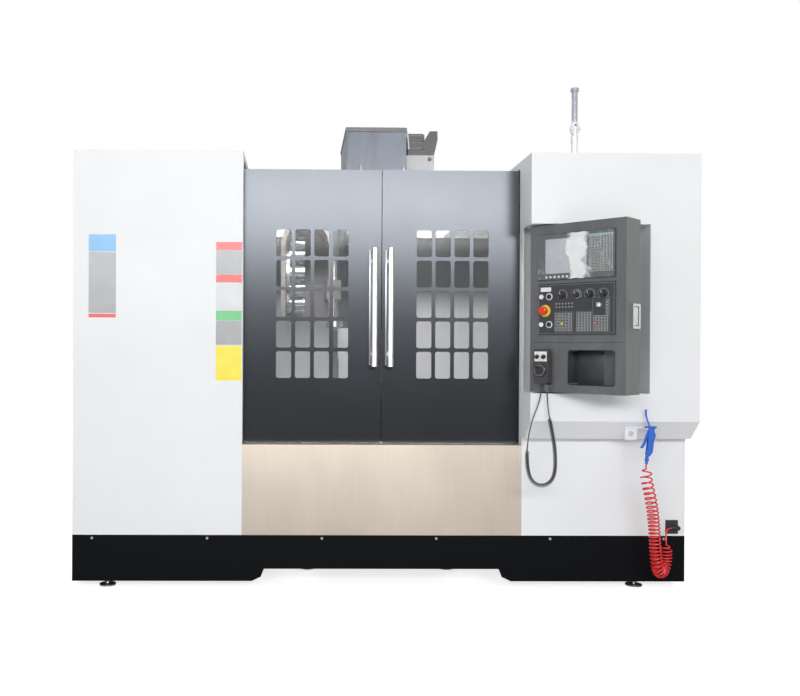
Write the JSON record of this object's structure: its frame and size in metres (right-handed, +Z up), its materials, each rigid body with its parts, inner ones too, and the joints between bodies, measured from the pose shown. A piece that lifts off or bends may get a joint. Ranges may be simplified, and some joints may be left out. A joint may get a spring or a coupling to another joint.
{
  "type": "cnc machining center",
  "caption": "Vertical machining centre with white guards, two black windowed doors, a swivelling control box, a hand wheel pendant, a signal light and an air gun on a coiled hose.",
  "frame": {"origin": "centre of the machine's footprint on the floor", "axes": "X to the right seen from the front, Y to the rear, Z up"},
  "size_m": [3, 2.372, 2.488],
  "materials": {
    "white_paint": "satin powder coat",
    "black_texture": "fine textured",
    "stainless": "vertical brushed grain",
    "window": "clear",
    "aluminium_tube": "satin anodised",
    "casting": "painted grey, ways ground",
    "ground_steel": "ground",
    "table_iron": "scraped",
    "cover_steel": "rolled stainless",
    "guard_paint": "satin light grey",
    "motor_black": "semi-gloss black",
    "carrier_black": "matte",
    "dark_box": "satin dark grey",
    "unit_grey": "matte light grey",
    "knob_black": "matte",
    "stop_red": "gloss",
    "key_chrome": "polished",
    "button_white": "gloss",
    "pendant_grey": "matte",
    "lamp_clear": "clear",
    "lamp_white": "gloss",
    "gun_blue": "gloss",
    "hose_red": "gloss",
    "fitting_black": "matte",
    "cord_black": "matte",
    "foot_steel": "zinc plated"
  },
  "bodies": {
    "machine": {"base_skirt": "black_texture", "levelling_feet": "foot_steel", "left_cabinet": "white_paint", "right_cabinet": "white_paint", "front_apron": "stainless", "door_rails": "ground_steel", "bed": "casting", "column": "casting", "axis_motors": "motor_black", "inner_guards": "guard_paint", "magazine_housing": "guard_paint", "electrical_cabinet": "guard_paint", "signal_base": "lamp_white", "air_gun": "gun_blue", "air_hose": "hose_red", "hose_fittings": "fitting_black"},
    "left_door": {"left_door": "black_texture", "left_door_glass": "window", "left_door_handle": "aluminium_tube"},
    "right_door": {"right_door": "black_texture", "right_door_glass": "window", "right_door_handle": "aluminium_tube"},
    "saddle": {"saddle": "casting"},
    "table": {"table": "table_iron"},
    "y_screw": {"y_ball_screw": "ground_steel"},
    "x_screw": {"x_ball_screw": "ground_steel"},
    "z_screw": {"z_ball_screw": "ground_steel"},
    "y_cover_inner": {"y_cover_inner": "cover_steel"},
    "y_cover_middle": {"y_cover_middle": "cover_steel"},
    "z_cover_lower": {"z_cover_lower": "cover_steel"},
    "z_cover_upper": {"z_cover_upper": "cover_steel"},
    "head": {"headstock": "casting", "head_cover": "guard_paint", "spindle_motor": "motor_black", "cable_carrier": "carrier_black"},
    "spindle": {"spindle": "ground_steel"},
    "tool_disc": {"tool_disc": "ground_steel"},
    "change_arm_shaft": {"change_arm_shaft": "ground_steel"},
    "change_arm": {"change_arm": "ground_steel"},
    "electrical_door": {"electrical_door": "guard_paint"},
    "control_box": {"panel_housing": "dark_box", "display_unit": "unit_grey", "operator_panel": "unit_grey", "pendant_body": "pendant_grey", "pendant_cord": "cord_black"},
    "mode_switch": {"mode_switch": "knob_black"},
    "rapid_override": {"rapid_override": "knob_black"},
    "feed_override": {"feed_override": "knob_black"},
    "spindle_override": {"spindle_override": "knob_black"},
    "key_switch": {"key_switch": "key_chrome"},
    "emergency_stop": {"emergency_stop": "stop_red"},
    "power_off_button": {"power_off_button": "knob_black"},
    "power_on_button": {"power_on_button": "button_white"},
    "cycle_start_button": {"cycle_start_button": "button_white"},
    "feed_hold_button": {"feed_hold_button": "knob_black"},
    "pendant_dial": {"pendant_dial": "key_chrome"},
    "pendant_axis_selector": {"pendant_axis_selector": "knob_black"},
    "pendant_rate_selector": {"pendant_rate_selector": "knob_black"},
    "signal_lamp": {"signal_lamp": "lamp_clear"},
    "gun_trigger": {"gun_trigger": "gun_blue"}
  },
  "joints": [
    {"name": "left_door_slide", "type": "slide", "parent": "machine", "child": "left_door", "axis": [-1, 0, 0], "range_m": [0, 0.6]},
    {"name": "right_door_slide", "type": "slide", "parent": "machine", "child": "right_door", "axis": [1, 0, 0], "range_m": [0, 0.6]},
    {"name": "y_axis", "type": "slide", "parent": "machine", "child": "saddle", "axis": [0, 1, 0], "range_m": [-0.3, 0.3]},
    {"name": "x_axis", "type": "slide", "parent": "saddle", "child": "table", "axis": [1, 0, 0], "range_m": [-0.55, 0.55]},
    {"name": "z_axis", "type": "slide", "parent": "machine", "child": "head", "axis": [0, 0, 1], "range_m": [-0.6, 0]},
    {"name": "y_screw_turn", "type": "hinge", "parent": "machine", "child": "y_screw", "pos_m": [0.02, -0.03402, 0.574], "axis": [0, 1, 0], "continuous": true},
    {"name": "x_screw_turn", "type": "hinge", "parent": "saddle", "child": "x_screw", "pos_m": [0.02, -0.03402, 0.738], "axis": [1, 0, 0], "continuous": true},
    {"name": "z_screw_turn", "type": "hinge", "parent": "machine", "child": "z_screw", "pos_m": [0.02, 0.64398, 1.4], "axis": [0, 0, 1], "continuous": true},
    {"name": "y_cover_inner_slide", "type": "slide", "parent": "machine", "child": "y_cover_inner", "axis": [0, 1, 0], "range_m": [-0.1, 0.1]},
    {"name": "y_cover_middle_slide", "type": "slide", "parent": "machine", "child": "y_cover_middle", "axis": [0, 1, 0], "range_m": [-0.2, 0.2]},
    {"name": "z_cover_lower_slide", "type": "slide", "parent": "machine", "child": "z_cover_lower", "axis": [0, 0, 1], "range_m": [-0.2, 0]},
    {"name": "z_cover_upper_slide", "type": "slide", "parent": "machine", "child": "z_cover_upper", "axis": [0, 0, 1], "range_m": [-0.4, 0]},
    {"name": "spindle_turn", "type": "hinge", "parent": "head", "child": "spindle", "pos_m": [0.02, -0.03402, 1.62], "axis": [0, 0, 1], "continuous": true},
    {"name": "tool_disc_turn", "type": "hinge", "parent": "machine", "child": "tool_disc", "pos_m": [-0.42, -0.03402, 1.595], "axis": [1, 0, 0], "continuous": true},
    {"name": "change_arm_drop", "type": "slide", "parent": "machine", "child": "change_arm_shaft", "axis": [0, 0, 1], "range_m": [-0.11, 0]},
    {"name": "change_arm_swing", "type": "hinge", "parent": "change_arm_shaft", "child": "change_arm", "pos_m": [-0.2, -0.03402, 1.308], "axis": [0, 0, -1], "range_deg": [0, 90]},
    {"name": "electrical_door_hinge", "type": "hinge", "parent": "machine", "child": "electrical_door", "pos_m": [1.449, 1.14498, 1.2], "axis": [0, 0, -1], "range_deg": [0, 110]},
    {"name": "control_box_swivel", "type": "hinge", "parent": "machine", "child": "control_box", "pos_m": [0.82361, -0.81871, 1.367], "axis": [0, 0, 1], "range_deg": [0, 46]},
    {"name": "mode_switch_turn", "type": "hinge", "parent": "control_box", "child": "mode_switch", "pos_m": [0.82306, -0.97217, 1.427], "axis": [-0.7193, -0.6947, 0], "range_deg": [-120, 120]},
    {"name": "rapid_override_turn", "type": "hinge", "parent": "control_box", "child": "rapid_override", "pos_m": [0.87307, -1.02396, 1.427], "axis": [-0.7193, -0.6947, 0], "range_deg": [-120, 120]},
    {"name": "feed_override_turn", "type": "hinge", "parent": "control_box", "child": "feed_override", "pos_m": [0.91753, -1.07, 1.427], "axis": [-0.7193, -0.6947, 0], "range_deg": [-135, 135]},
    {"name": "spindle_override_turn", "type": "hinge", "parent": "control_box", "child": "spindle_override", "pos_m": [0.96268, -1.11675, 1.427], "axis": [-0.7193, -0.6947, 0], "range_deg": [-120, 120]},
    {"name": "key_switch_turn", "type": "hinge", "parent": "control_box", "child": "key_switch", "pos_m": [0.95018, -1.10381, 1.377], "axis": [-0.7193, -0.6947, 0], "range_deg": [-90, 0]},
    {"name": "emergency_stop_press", "type": "slide", "parent": "control_box", "child": "emergency_stop", "axis": [0.7193, 0.6947, 0], "range_m": [0, 0.004], "stiffness_N_per_m": 2000},
    {"name": "power_off_press", "type": "slide", "parent": "control_box", "child": "power_off_button", "axis": [0.7193, 0.6947, 0], "range_m": [0, 0.004], "stiffness_N_per_m": 800},
    {"name": "power_on_press", "type": "slide", "parent": "control_box", "child": "power_on_button", "axis": [0.7193, 0.6947, 0], "range_m": [0, 0.004], "stiffness_N_per_m": 800},
    {"name": "cycle_start_press", "type": "slide", "parent": "control_box", "child": "cycle_start_button", "axis": [0.7193, 0.6947, 0], "range_m": [0, 0.004], "stiffness_N_per_m": 800},
    {"name": "feed_hold_press", "type": "slide", "parent": "control_box", "child": "feed_hold_button", "axis": [0.7193, 0.6947, 0], "range_m": [0, 0.004], "stiffness_N_per_m": 800},
    {"name": "pendant_dial_turn", "type": "hinge", "parent": "control_box", "child": "pendant_dial", "pos_m": [0.72728, -0.94928, 1.076], "axis": [-0.7193, -0.6947, 0], "continuous": true},
    {"name": "pendant_axis_turn", "type": "hinge", "parent": "control_box", "child": "pendant_axis_selector", "pos_m": [0.71547, -0.93705, 1.14], "axis": [-0.7193, -0.6947, 0], "range_deg": [-75, 75]},
    {"name": "pendant_rate_turn", "type": "hinge", "parent": "control_box", "child": "pendant_rate_selector", "pos_m": [0.73908, -0.96151, 1.14], "axis": [-0.7193, -0.6947, 0], "range_deg": [-45, 45]},
    {"name": "signal_lamp_fold", "type": "hinge", "parent": "machine", "child": "signal_lamp", "pos_m": [0.977, -0.66402, 2.28], "axis": [-1, 0, 0], "range_deg": [0, 90]},
    {"name": "gun_trigger_squeeze", "type": "hinge", "parent": "machine", "child": "gun_trigger", "pos_m": [1.243, -0.94002, 0.782], "axis": [0, -1, 0], "range_deg": [0, 10], "stiffness_Nm_per_rad": 2}
  ],
  "couplings": [
    {"joint": "y_screw_turn", "follows": "y_axis", "rad_per_m": 523.6},
    {"joint": "x_screw_turn", "follows": "x_axis", "rad_per_m": 523.6},
    {"joint": "z_screw_turn", "follows": "z_axis", "rad_per_m": 523.6},
    {"joint": "y_cover_inner_slide", "follows": "y_axis", "ratio": 0.33333},
    {"joint": "y_cover_middle_slide", "follows": "y_axis", "ratio": 0.66667},
    {"joint": "z_cover_lower_slide", "follows": "z_axis", "ratio": 0.33333},
    {"joint": "z_cover_upper_slide", "follows": "z_axis", "ratio": 0.66667}
  ]
}
